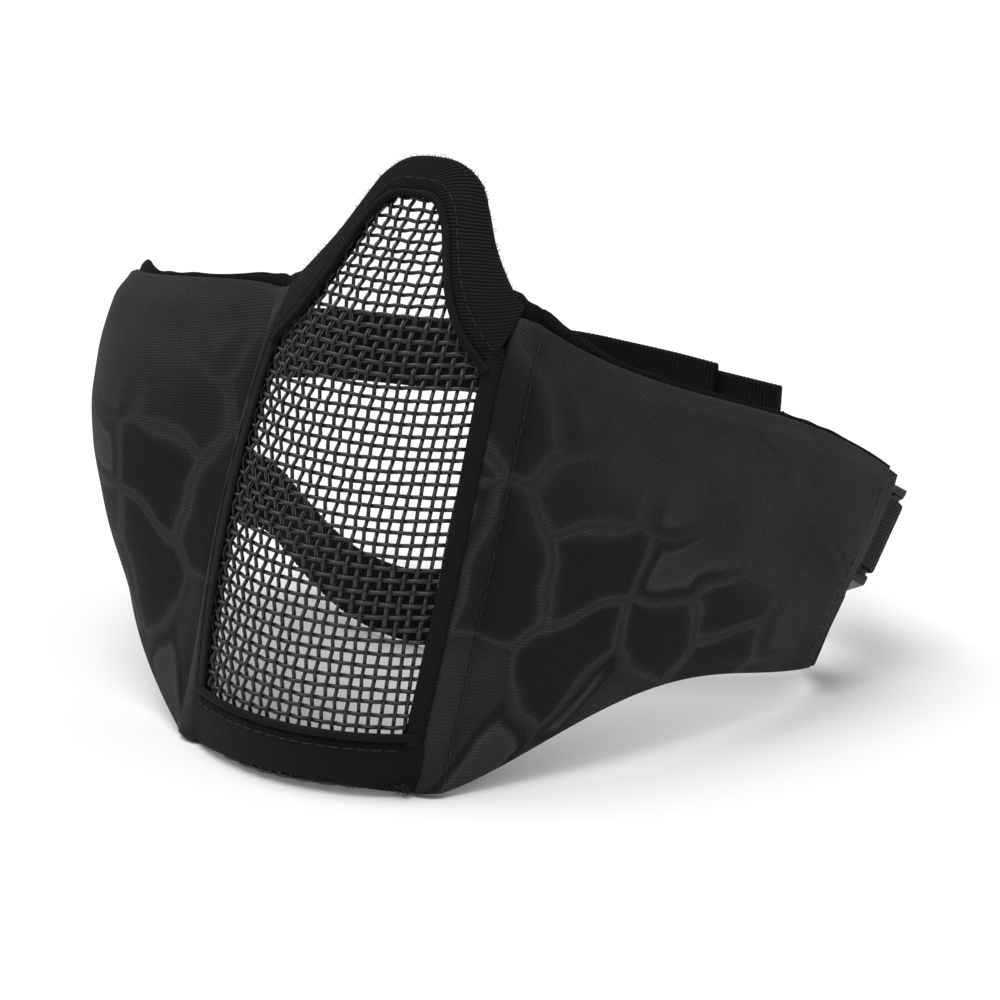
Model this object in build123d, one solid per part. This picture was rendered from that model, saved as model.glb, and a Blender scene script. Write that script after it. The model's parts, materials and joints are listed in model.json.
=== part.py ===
from build123d import *
import math
import os

os.makedirs("parts", exist_ok=True)

# driving dimensions, mm
seamHeight = 101.5       # seam tops above the chin edge
chinHalf = 27.2          # half width of the panel at the chin
seamSwell = 12.6         # how the half width swells towards the mouth ...
seamTuck = 12.3          # ... and tucks back in towards the cheekbones
archRise = 30.0          # nose arch above the seam tops
panelThick = 0.6         # solid sheet with the same steel per area as the woven wire
tapeThick = 1.0          # one layer of the folded edge tape
pipeRadius = 1.0         # rolled rim of the edge tape
chinBand = 12.3          # height of the chin tape
sideBand = 3.2           # width of the black tape down each side of the panel
foldThick = 2.2          # folded shell cloth between the side tape and the crease
shellThick = 0.6         # printed outer cloth
foamThick = 2.2          # foam core of a wing
liningThick = 0.5        # black inner cloth
layerGap = 0.3           # air between two loose layers
creaseGap = 1.2          # cloth layers stop this far from the crease line
wingLength = 105.0       # crease to rear edge, for the insets
liningProud = 2.0        # the lining stands this far above the shell's top edge
foamInset = 4.0          # foam stops this far inside the wing's outline
strapWide = 20.0         # elastic head strap
strapThick = 1.5
webWide = strapWide      # webbing end piece that threads the adjuster
webThick = 1.2
webFit = 0.9             # side clearance of the webbing in the adjuster
legEnd = 18.0            # flat run of webbing behind the adjuster bar
railWide = 2.6           # side rail of the adjuster
railThick = 3.2
ringWide = webWide + 2 * (railWide + webFit)
ringLong = 16.0          # strap adjuster along the strap
ringLap = 2.0            # body of the adjuster in front of its fixed bar, beyond half its length
ringCorner = 1.1
farBarAt = 3.2           # middle of the far bar before the adjuster's rear end
farBarWide = 2.4
farBarThick = 2.8
tabFit = 1.4             # side clearance of the sewn tab in the adjuster
tabWide = ringWide - 2 * (railWide + tabFit)
tabThick = 1.0
barRadius = 1.4          # fixed bar of the adjuster
barFit = 0.3             # running clearance of the tab round the bar
ringTurn = 60.0          # each adjuster lies swung in by this much from its wing, degrees
barOut = 8.0             # adjuster bar behind the wing's rear edge
upperDrop = 13.5         # middle of the upper adjuster below the wing's rear top corner
strapDrop = 9.5          # middle of the sewn upper strap below the wing's rear top corner
sewnGap = 1.3            # room left for the lining where a strap is sewn under it
tabSewn = 12.0           # length of tab sewn inside the wing
crossbarAt = 7.2         # middle of the crossbar behind the fixed bar
crossbarWide = 2.4
tailLength = 24.0        # loose webbing past the crossbar
legGap = 0.3             # webbing leg below the fixed bar
tailGap = 0.5            # loose tail below the leg
chinLift = 2.0           # middle of the chin line above its corners
tapeWrap = 0.9           # tape past the panel's side edge
rimOff = panelThick / 2 + 1.75   # the panel leans back, so the rolled rim stands off a little more
rimGap = 0.3             # rolled rim above the chin tape
seamGap = 1.6            # side tape starts this far above the rolled rim's middle
foldStart = 1.5          # folded cloth starts this far beside the panel's edge
creaseBeside = 7.3       # crease line beside the half width at the chin
creaseBehind = 2.07      # top of the crease behind the seam
creaseUnder = 4.5        # top of the crease below the seam tops
creaseFoot = 0.8         # bottom of the crease above the chin edge
liningInset = 0.8        # the lining stops this far inside the other edges
noseLow = 21.5           # the panel starts to lean into the nose this far below the seam tops


def spaced(start, end, count):
    return [start + (end - start) * i / (count - 1) for i in range(count)]


archTop = seamHeight + archRise


def ramp(v):
    v = min(max(v, 0.0), 1.0)
    return v * v * (3 - 2 * v)


def halfChord(h):
    t = h / seamHeight
    if h > seamHeight:
        return chinHalf + seamSwell - seamTuck - 0.1 * (h - seamHeight)
    return chinHalf + seamSwell * t - seamTuck * t * t


def sagitta(h):
    return 9 + 2 * h / seamHeight + 5 * ramp((h - seamHeight + noseLow) / 50)


def seamDepth(h):
    t = h / seamHeight
    noseLean = ramp((h - seamHeight + noseLow) / 50) + ramp((h - seamHeight + 6.5) / 35)
    return 24.5 * t + 20 * t * t + 5 * noseLean


def arcOf(h):
    # plan arc of the panel at height h: radius, centre depth, half angle
    s, g = halfChord(h), sagitta(h)
    r = (s * s + g * g) / (2 * g)
    return r, seamDepth(h) - g + r, math.asin(s / r)


def onPanel(x, h, off=0.0):
    # a point of the panel's middle surface, pushed out to the front by off
    r, c, _ = arcOf(h)
    a = math.asin(max(-0.98, min(0.98, x / r)))
    return Vector((r + off) * math.sin(a), c - (r + off) * math.cos(a), h)


def bandSection(h, inner, outer, a0, a1):
    r, c, _ = arcOf(h)

    def at(rad, a):
        return Vector(rad * math.sin(a), c - rad * math.cos(a), h)

    ro, ri, am = r + outer, r + inner, (a0 + a1) / 2
    return Wire([
        Edge.make_three_point_arc(at(ro, a0), at(ro, am), at(ro, a1)),
        Edge.make_line(at(ro, a1), at(ri, a1)),
        Edge.make_three_point_arc(at(ri, a1), at(ri, am), at(ri, a0)),
        Edge.make_line(at(ri, a0), at(ro, a0)),
    ])


def panelBand(inner, outer, heights, extra=0.0):
    rows = []
    for h in heights:
        r, _, a = arcOf(h)
        rows.append(bandSection(h, inner, outer, -a - extra / r, a + extra / r))
    return Solid.make_loft(rows)


def frontPrism(edges):
    # closed outline in the XZ plane, run through the whole depth of the mask
    face = Face(Wire(edges))
    return Solid.extrude(face.moved(Location((0, -60, 0))), Vector(0, 200, 0))


def overNose(points):
    # half width and share of the arch's rise, up to the top in the middle
    return [(x, seamHeight + share * archRise) for x, share in points]


def bothSides(points):
    return [(-x, z) for x, z in points] + list(reversed(points[:-1]))


def archEdges(points, floor):
    # outline: a spline over the nose closed by a straight floor
    line = [Vector(x, 0, z) for x, z in bothSides(points)]
    a, b = Vector(-60, 0, line[0].Z), Vector(60, 0, line[0].Z)
    return [
        Edge.make_line(a, line[0]),
        Edge.make_spline(line),
        Edge.make_line(line[-1], b),
        Edge.make_line(b, Vector(60, 0, floor)),
        Edge.make_line(Vector(60, 0, floor), Vector(-60, 0, floor)),
        Edge.make_line(Vector(-60, 0, floor), a),
    ]


def chinEdges(drop, low):
    # everything above the chin line, which is lifted in the middle
    wide, high = chinHalf + 12.8, archTop + 28.5
    return [
        Edge.make_three_point_arc(Vector(-wide, 0, low), Vector(0, 0, chinLift + drop), Vector(wide, 0, low)),
        Edge.make_line(Vector(wide, 0, low), Vector(wide, 0, high)),
        Edge.make_line(Vector(wide, 0, high), Vector(-wide, 0, high)),
        Edge.make_line(Vector(-wide, 0, high), Vector(-wide, 0, low)),
    ]


nodes = {}


def save(name, shape):
    nodes[name] = shape


outerArch = overNose([
    (29.5, -0.017), (23.5, 0.183), (18.0, 0.417), (14.0, 0.667), (11.0, 0.833), (6.0, 0.96), (0.0, 1.0)])
meshArch = overNose([
    (28.4, -0.053), (22.4, 0.143), (16.9, 0.38), (12.9, 0.637), (9.9, 0.8), (5.4, 0.92), (0.0, 0.957)])
rimArch = overNose([
    (27.6, -0.357), (22.9, -0.167), (19.0, 0.017), (16.0, 0.213), (13.0, 0.417), (10.0, 0.617),
    (6.0, 0.743), (0.0, 0.77)])
pipeArch = overNose([
    (26.6, -0.397), (21.4, -0.193), (17.6, -0.01), (14.6, 0.187), (11.6, 0.39), (8.8, 0.58),
    (5.2, 0.69), (0.0, 0.72)])

allRows = spaced(-4, archTop + 4.5, 10)
half = panelThick / 2
tape = half + tapeThick

panel = panelBand(-half, half, allRows)
panel = panel & frontPrism(archEdges(meshArch, -10)) & frontPrism(chinEdges(1.3, -1.1))
panel = panel.solids()[0]
save("mesh_panel", panel)

# tape over the nose: both faces and the edge of the panel
archRows = spaced(seamHeight - 19.5, archTop + 4.5, 6)
archFloor = seamHeight - 41.5
noseTape = panelBand(-tape, tape, archRows, tapeWrap) & frontPrism(archEdges(outerArch, archFloor))
noseTape = noseTape - frontPrism(archEdges(rimArch, archFloor)) - panelBand(-half, half, allRows)
noseTape = noseTape + (
    (panelBand(-half, half, archRows) & frontPrism(archEdges(outerArch, archFloor)))
    - frontPrism(archEdges(meshArch, archFloor))
)
save("nose_binding", noseTape.solids()[0])


def rolled(points, radius):
    path = Edge.make_spline(points)
    disc = Face(Wire(Edge.make_circle(radius, Plane(origin=path @ 0, z_dir=path % 0))))
    return Solid.sweep(disc, Wire([path]))


save("nose_piping", rolled([onPanel(x, z, rimOff) for x, z in bothSides(pipeArch)], pipeRadius))

chinRows = spaced(-4, chinBand + 7.7, 4)
slab = Solid.make_box(160, 260, chinBand + 10, Plane(origin=(-80, -60, -10)))
chinTape = panelBand(-tape, tape, chinRows, tapeWrap) & frontPrism(chinEdges(0, -2.4)) & slab
chinTape = chinTape - panel
save("chin_binding", chinTape.solids()[0])

pipeHeight = chinBand + pipeRadius + rimGap
pipeHalf = chinHalf - 2.2
chinLine = [onPanel(x, pipeHeight, rimOff) for x in spaced(-pipeHalf, pipeHalf, 7)]
save("chin_piping", rolled(chinLine, pipeRadius))

# tape down both sides of the panel, between the two bands
sideRows = spaced(pipeHeight + seamGap, seamHeight - 14.3, 5)
for side, name in ((-1, "left"), (1, "right")):
    rows = []
    for h in sideRows:
        r, _, a = arcOf(h)
        lo, hi = a - sideBand / r, a + tapeWrap / r
        rows.append(bandSection(h, -tape, tape, *sorted((side * lo, side * hi))))
    band = Solid.make_loft(rows) - panelBand(-half, half, allRows)
    save(name + "_seam_binding", max(band.solids(), key=lambda s: s.volume))

# each wing hinges on a straight crease beside the curved seam
creaseLow = (chinHalf + creaseBeside, 3.0, creaseFoot)
creaseHigh = (chinHalf + creaseBeside, seamDepth(seamHeight) + creaseBehind, seamHeight - creaseUnder)


def creaseAt(h):
    t = (h - creaseLow[2]) / (creaseHigh[2] - creaseLow[2])
    return Vector(*[a + (b - a) * t for a, b in zip(creaseLow, creaseHigh)])


def quad(p, q, n, lo, hi):
    return Wire.make_polygon([p + n * lo, q + n * lo, q + n * hi, p + n * hi])


for side, name in ((-1, "left"), (1, "right")):
    rows = []
    for h in spaced(0.6, seamHeight - 4.0, 6):
        r, c, a = arcOf(h)
        b = a + foldStart / r
        near = Vector(r * math.sin(b), c - r * math.cos(b), h)
        far = creaseAt(h)
        run = (far - near).normalized()
        far = far - run * creaseGap * 0.6
        out = Vector(run.Y, -run.X, 0) * (foldThick / 2)
        pts = [near + out, far + out, far - out, near - out]
        if side < 0:
            pts = [Vector(-p.X, p.Y, p.Z) for p in pts]
        rows.append(Wire.make_polygon(pts))
    save(name + "_seam_fold", Solid.make_loft(rows))


def mirrored(p):
    return (-p[0], p[1], p[2])


# wing stations from the crease to the rear edge: top point, bottom point, outward swell
wings = {
    "right": [
        (creaseHigh, creaseLow, 0.0),
        ((51.0, 67.0, 83.5), (49.5, 24.5, 8.5), 2.0),
        ((66.5, 86.0, 74.5), (63.0, 48.0, 15.0), 3.0),
        ((80.0, 106.5, 65.0), (74.0, 71.5, 13.3), 3.0),
        ((93.0, 129.0, 49.5), (85.0, 95.6, 8.5), 1.0),
    ],
    "left": [
        (mirrored(creaseHigh), mirrored(creaseLow), 0.0),
        ((-58.0, 50.0, 97.0), (-55.0, 17.0, 14.0), 4.0),
        ((-80.0, 54.0, 95.0), (-72.0, 36.0, 28.0), 8.0),
        ((-91.0, 74.0, 90.0), (-83.0, 61.0, 36.0), 8.0),
        ((-88.0, 97.0, 74.0), (-84.0, 87.0, 29.0), 3.0),
    ],
}


def through(values, s):
    # the polynomial that passes through evenly spaced values
    n = len(values) - 1
    total = values[0] * 0
    for i, v in enumerate(values):
        w = 1.0
        for j in range(n + 1):
            if j != i:
                w *= (s * n - j) / (i - j)
        total = total + v * w
    return total


def wingAt(side, s):
    # top point, bottom point, swell, backward and outward directions at s from crease to rear
    tops = [Vector(*r[0]) for r in wings[side]]
    lows = [Vector(*r[1]) for r in wings[side]]
    swell = through([r[2] for r in wings[side]], s)
    e = 0.01
    middles = [p + q for p, q in zip(tops, lows)]
    run = (through(middles, s + e) - through(middles, s - e)).normalized()
    top, low = through(tops, s), through(lows, s)
    out = run.cross(top - low).normalized()
    return top, low, swell, run, out * (-1 if side == "left" else 1)


def wingLayer(side, inner, outer, over, under, start, end):
    rows = []
    count = 8
    for i in range(count + 1):
        top, low, swell, run, out = wingAt(side, start + (end - start) * i / count)
        tall = (top - low).length
        rise = (top - low).normalized()
        t = top - rise * over + out * (swell * 4 * over / tall * (1 - over / tall))
        b = low + rise * under + out * (swell * 4 * under / tall * (1 - under / tall))
        m = (top + low) * 0.5 + out * (swell + 0.02)
        rows.append(Wire([
            Edge.make_three_point_arc(b + out * inner, m + out * inner, t + out * inner),
            Edge.make_line(t + out * inner, t + out * outer),
            Edge.make_three_point_arc(t + out * outer, m + out * outer, b + out * outer),
            Edge.make_line(b + out * outer, b + out * inner),
        ]))
    return Solid.make_loft(rows)


core = foamThick / 2
for side in ("left", "right"):
    first = creaseGap / wingLength
    shell = wingLayer(side, core + layerGap, core + layerGap + shellThick, 0, 0, first, 1)
    inset = foamInset / wingLength
    foam = wingLayer(side, -core, core, foamInset, foamInset, first + inset, 1 - inset)
    inside, rear = -core - layerGap, 1 - liningInset / wingLength
    lining = wingLayer(side, inside - liningThick, inside, -liningProud, liningInset, first, rear)
    save(side + "_outer_shell", shell)
    save(side + "_foam", foam)
    save(side + "_lining", lining)


def ribbon(rows, width, thick, first=None):
    # a flat strap: rows of centre point and the direction across it
    centres = [Vector(*c) for c, _ in rows]
    spine = Edge.make_spline(centres)
    marks = [0.0]
    for p, q in zip(centres, centres[1:]):
        marks.append(marks[-1] + (q - p).length)
    count = 2 * len(rows)
    sections = []
    for i in range(count + 1):
        s = i / count
        k = max(j for j, m in enumerate(marks[:-1]) if m <= s * marks[-1] + 1e-9)
        f = (s * marks[-1] - marks[k]) / (marks[k + 1] - marks[k])
        here, after = Vector(*rows[k][1]).normalized(), Vector(*rows[k + 1][1]).normalized()
        across = (here * (1 - f) + after * f).normalized()
        run = first if i == 0 and first else spine % s
        p = spine @ s
        out = run.cross(across).normalized()
        sections.append(quad(p - across * (width / 2), p + across * (width / 2), out, -thick / 2, thick / 2))
    return Solid.make_loft(sections)


def rearFrame(side, down, back):
    # hardware frame on a wing's rear edge: x along the edge, y backwards, z outwards
    top, low, _, _, out = wingAt(side, 1.0)
    before = wingAt(side, 0.85)
    run = (top + low - before[0] - before[1]).normalized()
    edge = (top - low).normalized()
    rear = (run - edge * run.dot(edge)).normalized()
    face = edge.cross(rear).normalized()
    if face.dot(out) < 0:
        edge = edge * -1
        face = edge.cross(rear).normalized()
    seat = core + layerGap + liningThick + layerGap + tabThick + barFit + barRadius
    point = top - (top - low).normalized() * down + rear * back - face * seat
    return Plane(origin=point, x_dir=edge, z_dir=face), edge, rear, face


def adjuster():
    # flat slotted ring with its round fixed bar at the origin, reaching to +Y
    span = ringWide - railWide
    body = Pos(-span / 2, ringLong / 2 - ringLap, 0) * Box(railWide, ringLong, railThick)
    body += Pos(span / 2, ringLong / 2 - ringLap, 0) * Box(railWide, ringLong, railThick)
    body = fillet(body.edges().filter_by(Axis.Z), ringCorner)
    body += Pos(0, crossbarAt, 0) * Box(span, crossbarWide, crossbarWide)
    body += Pos(0, ringLong - farBarAt, 0) * Box(span, farBarWide, farBarThick)
    body += Rot(0, 90, 0) * Cylinder(barRadius, span)
    return body.solids()[0]


def flatLoop(points, radii, thick, wide):
    # a strap bent in the YZ plane and as wide as stated along X
    plane = Plane.YZ.offset(-wide / 2)
    with BuildPart() as b:
        with BuildSketch(plane):
            with BuildLine() as line:
                Polyline(*points)
                for corner, radius in zip(points[1:-1], radii):
                    spot = plane.from_local_coords(Vector(*corner, 0))
                    fillet([v for v in line.vertices() if (v.center() - spot).length < 1e-4], radius=radius)
                offset(amount=thick / 2, side=Side.BOTH)
            make_face()
        extrude(amount=wide)
    return b.part.solids()[0]


loopRadius = barRadius + barFit + tabThick / 2
plane, edge, back, face = rearFrame("right", upperDrop, barOut)
turn = math.radians(ringTurn)
leave = back * math.cos(turn) - face * math.sin(turn)
lift = face * math.cos(turn) + back * math.sin(turn)
ringPlane = Plane(origin=plane.origin, x_dir=edge, z_dir=lift)
save("upper_adjuster", ringPlane.location * adjuster())
sewn = -(barOut + tabSewn)
save("upper_tab", plane.location * flatLoop(
    [(sewn, loopRadius), (loopRadius, loopRadius), (loopRadius, -loopRadius), (sewn, -loopRadius)],
    [loopRadius * 0.98, loopRadius * 0.98], tabThick, tabWide))

# webbing threaded over the crossbar: main leg beneath the far bar, tail beneath it
legLevel = -(barRadius + legGap + webThick / 2)
tailLevel = legLevel - webThick - tailGap
wrapReach = crossbarWide / 2 + layerGap + webThick / 2
wrapNear, wrapFar, wrapTop = crossbarAt - wrapReach, crossbarAt + wrapReach, wrapReach
profile = [
    (legEnd, legLevel), (wrapFar, legLevel), (wrapFar, wrapTop), (wrapNear, wrapTop),
    (wrapNear, tailLevel), (wrapNear + tailLength, tailLevel)]
threaded = ringPlane.location * flatLoop(profile, [1.0, 1.2, 1.2, 1.4], webThick, webWide)


def sewnEnd(side, down, inside, slant, steps):
    # rows of a strap lying flat under the lining near a wing's rear edge, slanting down by an angle
    top, low = wingAt(side, 1.0)[:2]
    back, face = rearFrame(side, down, 0)[2:]
    rise = (top - low).normalized()
    under = core + sewnGap + liningThick + strapThick / 2
    base = top - rise * down - back * inside - face * under
    lean = math.radians(slant)
    along = back * math.cos(lean) - rise * math.sin(lean)
    across = rise * math.cos(lean) + back * math.sin(lean)
    return [(tuple(base + along * t), tuple(across)) for t in steps]


upright = (0, 0, 1)
upRows = sewnEnd("left", strapDrop, 0, 0, (-14, -6, 2)) + [
    ((-86, 113, 63), (0, 0.1, 1)), ((-74, 131, 61), upright), ((-52, 146, 58), upright),
    ((-25, 157, 55.5), upright), ((5, 162, 53), upright), ((34, 159, 51), upright),
    ((52, 155, 50.5), upright),
]
save("upper_elastic", ribbon(upRows, strapWide, strapThick))

# the webbing lead runs from the adjuster to the elastic and is sewn on behind its end
middle = ringPlane.origin + leave * legEnd + lift * legLevel
leadRows = [(tuple(middle), tuple(edge * -1)), (tuple(middle + leave * 3), tuple(edge * -1))] + [
    ((69.5, 147.5, 24.3), (0.2, 0.2, 0.95)), ((62, 152.5, 28.5), (0.4, -0.1, 0.9)),
    ((54, 156.4, 36.5), (0.5, -0.1, 0.8)), ((45, 159.4, 45.5), (0.45, 0, 0.9))]
save("upper_webbing", threaded + ribbon(leadRows, webWide, webThick, first=leave))

lowRows = sewnEnd("left", 26, 12, 60, (0, 6, 12)) + [
    ((-78.5, 90.5, 31), (0.3, 0.5, 0.8)),
    ((-69, 96.5, 25.3), (0.35, -0.1, 0.92)), ((-60, 93.5, 20.9), (0.35, -0.16, 0.92)),
    ((-50, 89, 16.4), (0.3, -0.13, 0.94)), ((-40, 84.8, 13.2), (0.2, -0.08, 0.97)),
    ((-30, 81.5, 11.4), (0.1, -0.03, 1)), ((-19, 79.6, 10.6), upright), ((-7, 79.5, 11.4), (-0.1, 0, 1)),
    ((8, 82, 15), (-0.2, -0.05, 0.97)), ((24, 87.5, 20), (-0.15, -0.1, 1)), ((41, 96, 24), upright),
    ((60, 108, 23), (0, 0.2, 1)), ((77, 117, 13.5), (0.05, 0.5, 0.9)),
]
lowRows += list(reversed(sewnEnd("right", 41.5, 0, 0, (-10, -3, 4))))
save("lower_elastic", ribbon(lowRows, strapWide, strapThick))

# origin: bottom centre of the whole mask's box
boxes = [s.bounding_box() for s in nodes.values()]
lo = [min(getattr(b.min, k) for b in boxes) for k in "XYZ"]
hi = [max(getattr(b.max, k) for b in boxes) for k in "XYZ"]
home = Vector(-(lo[0] + hi[0]) / 2, -(lo[1] + hi[1]) / 2, -lo[2])
for name, shape in nodes.items():
    placed = shape.moved(Location(home))
    export_step(placed, f"parts/{name}.step")
print(len(nodes), "pieces, moved by", home)
print("adjuster bar at", plane.origin + home, "along", edge, "normal", lift)
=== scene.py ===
import json
import math
import random
import bpy
import bmesh
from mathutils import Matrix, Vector


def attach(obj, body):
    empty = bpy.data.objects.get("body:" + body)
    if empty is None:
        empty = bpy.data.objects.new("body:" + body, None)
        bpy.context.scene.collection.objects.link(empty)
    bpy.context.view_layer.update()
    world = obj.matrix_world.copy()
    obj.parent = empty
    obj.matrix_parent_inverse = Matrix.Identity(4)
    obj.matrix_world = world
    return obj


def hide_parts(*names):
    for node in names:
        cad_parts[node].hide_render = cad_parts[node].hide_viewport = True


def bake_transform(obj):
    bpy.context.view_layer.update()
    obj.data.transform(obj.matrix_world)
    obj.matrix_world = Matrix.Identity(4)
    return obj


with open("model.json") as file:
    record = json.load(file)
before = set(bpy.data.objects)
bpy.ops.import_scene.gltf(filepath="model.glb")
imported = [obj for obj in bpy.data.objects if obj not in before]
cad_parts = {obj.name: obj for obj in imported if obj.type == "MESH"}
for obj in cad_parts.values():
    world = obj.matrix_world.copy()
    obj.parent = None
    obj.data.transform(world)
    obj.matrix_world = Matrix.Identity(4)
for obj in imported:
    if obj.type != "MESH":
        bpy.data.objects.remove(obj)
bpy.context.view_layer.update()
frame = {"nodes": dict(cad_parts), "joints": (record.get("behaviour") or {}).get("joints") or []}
mm = 0.001

joints = {j["name"]: j for j in frame["joints"]}
creaseFoot = Vector((34.5, 3.0, 0.8)) * mm          # foot of the right crease in the maker's own layout
home = Vector(joints["right_wing_fold"]["pos_m"]) - creaseFoot


def put(p):
    # layout millimetres to the frame's metres
    return Vector(p) * mm + home


def ramp(v):
    v = min(max(v, 0.0), 1.0)
    return v * v * (3 - 2 * v)


def curveThrough(points, s):
    # smooth line through points, s from 0 to 1
    n = len(points) - 1
    t = min(max(s, 0.0), 1.0) * n
    i = min(int(t), n - 1)
    f = t - i
    a = points[max(i - 1, 0)]
    b, c = points[i], points[i + 1]
    d = points[min(i + 2, n)]
    slope = (c - a) * f
    bend = (2 * a - 5 * b + 4 * c - d) * f * f
    twist = (3 * b - a - 3 * c + d) * f * f * f
    return 0.5 * (2 * b + slope + bend + twist)


def gridMesh(name, rows, closedAcross=False, closedAlong=False, uvs=None, caps=False):
    # rows of points joined into faces; uvs is one (u, v) for each point, in metres
    bm = bmesh.new()
    uvLayer = bm.loops.layers.uv.new("uv")
    verts = [[bm.verts.new(p) for p in row] for row in rows]
    m = len(rows[0])
    across = m if closedAcross else m - 1
    along = len(rows) if closedAlong else len(rows) - 1
    for i in range(along):
        for j in range(across):
            ids = [(i, j), (i + 1, j), (i + 1, j + 1), (i, j + 1)]
            quad = [verts[a % len(rows)][b % m] for a, b in ids]
            face = bm.faces.new(quad)
            face.smooth = True
            if uvs:
                for loop, (a, b) in zip(face.loops, ids):
                    u0, v0 = uvs[a % len(rows)][b % m]
                    if closedAcross and b == m:
                        v0 = uvs[a % len(rows)][m - 1][1] + uvs[0][1][1] - uvs[0][0][1]
                    loop[uvLayer].uv = (u0, v0)
    if caps and closedAcross:
        bm.faces.new(list(reversed(verts[0])))
        bm.faces.new(verts[-1])
    mesh = bpy.data.meshes.new(name)
    bm.normal_update()
    bm.to_mesh(mesh)
    bm.free()
    obj = bpy.data.objects.new(name, mesh)
    bpy.context.scene.collection.objects.link(obj)
    return obj


def facesOut(obj):
    bm = bmesh.new()
    bm.from_mesh(obj.data)
    bmesh.ops.recalc_face_normals(bm, faces=bm.faces[:])
    bm.to_mesh(obj.data)
    bm.free()
    return obj


def finishShape(obj, material):
    obj.data.materials.clear()
    obj.data.materials.append(material)
    return obj


def bakeModifiers(obj):
    graph = bpy.context.evaluated_depsgraph_get()
    mesh = bpy.data.meshes.new_from_object(obj.evaluated_get(graph), depsgraph=graph)
    name = obj.name
    if obj.type == "MESH":
        obj.modifiers.clear()
        obj.data = mesh
        return obj
    bpy.data.objects.remove(obj)
    fresh = bpy.data.objects.new(name, mesh)
    bpy.context.scene.collection.objects.link(fresh)
    return fresh


def newMaterial(name):
    mat = bpy.data.materials.new(name)
    mat.use_nodes = True
    nodes = mat.node_tree.nodes
    return mat, nodes, mat.node_tree.links, nodes["Principled BSDF"]


def mathNode(nodes, links, operation, a, b=None, clamp=False):
    node = nodes.new("ShaderNodeMath")
    node.operation = operation
    node.use_clamp = clamp
    for i, v in enumerate((a, b)):
        if v is None:
            continue
        if isinstance(v, (int, float)):
            node.inputs[i].default_value = v
        else:
            links.new(v, node.inputs[i])
    return node.outputs[0]


def colourRamp(nodes, links, source, stops):
    node = nodes.new("ShaderNodeValToRGB")
    tones = node.color_ramp
    tones.elements[0].position, tones.elements[0].color = stops[0][0], (*stops[0][1], 1)
    tones.elements[1].position, tones.elements[1].color = stops[-1][0], (*stops[-1][1], 1)
    for pos, col in stops[1:-1]:
        e = tones.elements.new(pos)
        e.color = (*col, 1)
    links.new(source, node.inputs["Fac"])
    return node.outputs["Color"]


def greys(*stops):
    # places along a colour ramp and their plain grey tones
    return [(spot, (tone,) * 3) for spot, tone in stops]


def mixColour(nodes, links, kind, factor, a, b):
    node = nodes.new("ShaderNodeMix")
    node.data_type = "RGBA"
    node.blend_type = kind
    for socket, v in ((node.inputs[0], factor), (node.inputs[6], a), (node.inputs[7], b)):
        if isinstance(v, (int, float)):
            socket.default_value = v
        elif isinstance(v, tuple):
            socket.default_value = (*v, 1)
        else:
            links.new(v, socket)
    return node.outputs[2]


def weaveGroup():
    # height of crossing yarns on a UV map in metres; the cloth also paints shade into the low gaps from it
    g = bpy.data.node_groups.new("yarnWeave", "ShaderNodeTree")
    g.interface.new_socket("Pitch", in_out="INPUT", socket_type="NodeSocketFloat").default_value = 0.001
    g.interface.new_socket("Slant", in_out="INPUT", socket_type="NodeSocketFloat").default_value = 0.0
    g.interface.new_socket("Ribs", in_out="INPUT", socket_type="NodeSocketFloat").default_value = 0.0
    g.interface.new_socket("Height", in_out="OUTPUT", socket_type="NodeSocketFloat")
    n, l = g.nodes, g.links
    gin, gout = n.new("NodeGroupInput"), n.new("NodeGroupOutput")
    uv = n.new("ShaderNodeUVMap")
    uv.uv_map = "uv"
    sep = n.new("ShaderNodeSeparateXYZ")
    l.new(uv.outputs[0], sep.inputs[0])
    freq = mathNode(n, l, "DIVIDE", 2 * math.pi, gin.outputs["Pitch"])
    slantV = mathNode(n, l, "MULTIPLY", sep.outputs[1], gin.outputs["Slant"])
    slantU = mathNode(n, l, "MULTIPLY", sep.outputs[0], gin.outputs["Slant"])
    a = mathNode(n, l, "ADD", sep.outputs[0], slantV)
    b = mathNode(n, l, "SUBTRACT", sep.outputs[1], slantU)
    sa = mathNode(n, l, "SINE", mathNode(n, l, "MULTIPLY", a, freq))
    sb = mathNode(n, l, "SINE", mathNode(n, l, "MULTIPLY", b, freq))
    plain = mathNode(n, l, "MULTIPLY", sa, sb)
    ribs = mathNode(n, l, "MULTIPLY", sa, gin.outputs["Ribs"])
    keep = mathNode(n, l, "SUBTRACT", 1.0, gin.outputs["Ribs"])
    total = mathNode(n, l, "ADD", mathNode(n, l, "MULTIPLY", plain, keep), ribs)
    l.new(mathNode(n, l, "MULTIPLY_ADD", total, 0.5), gout.inputs["Height"])
    last = [x for x in n if x.bl_idname == "ShaderNodeMath"][-1]
    last.inputs[2].default_value = 0.5
    return g


weave = weaveGroup()


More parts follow.
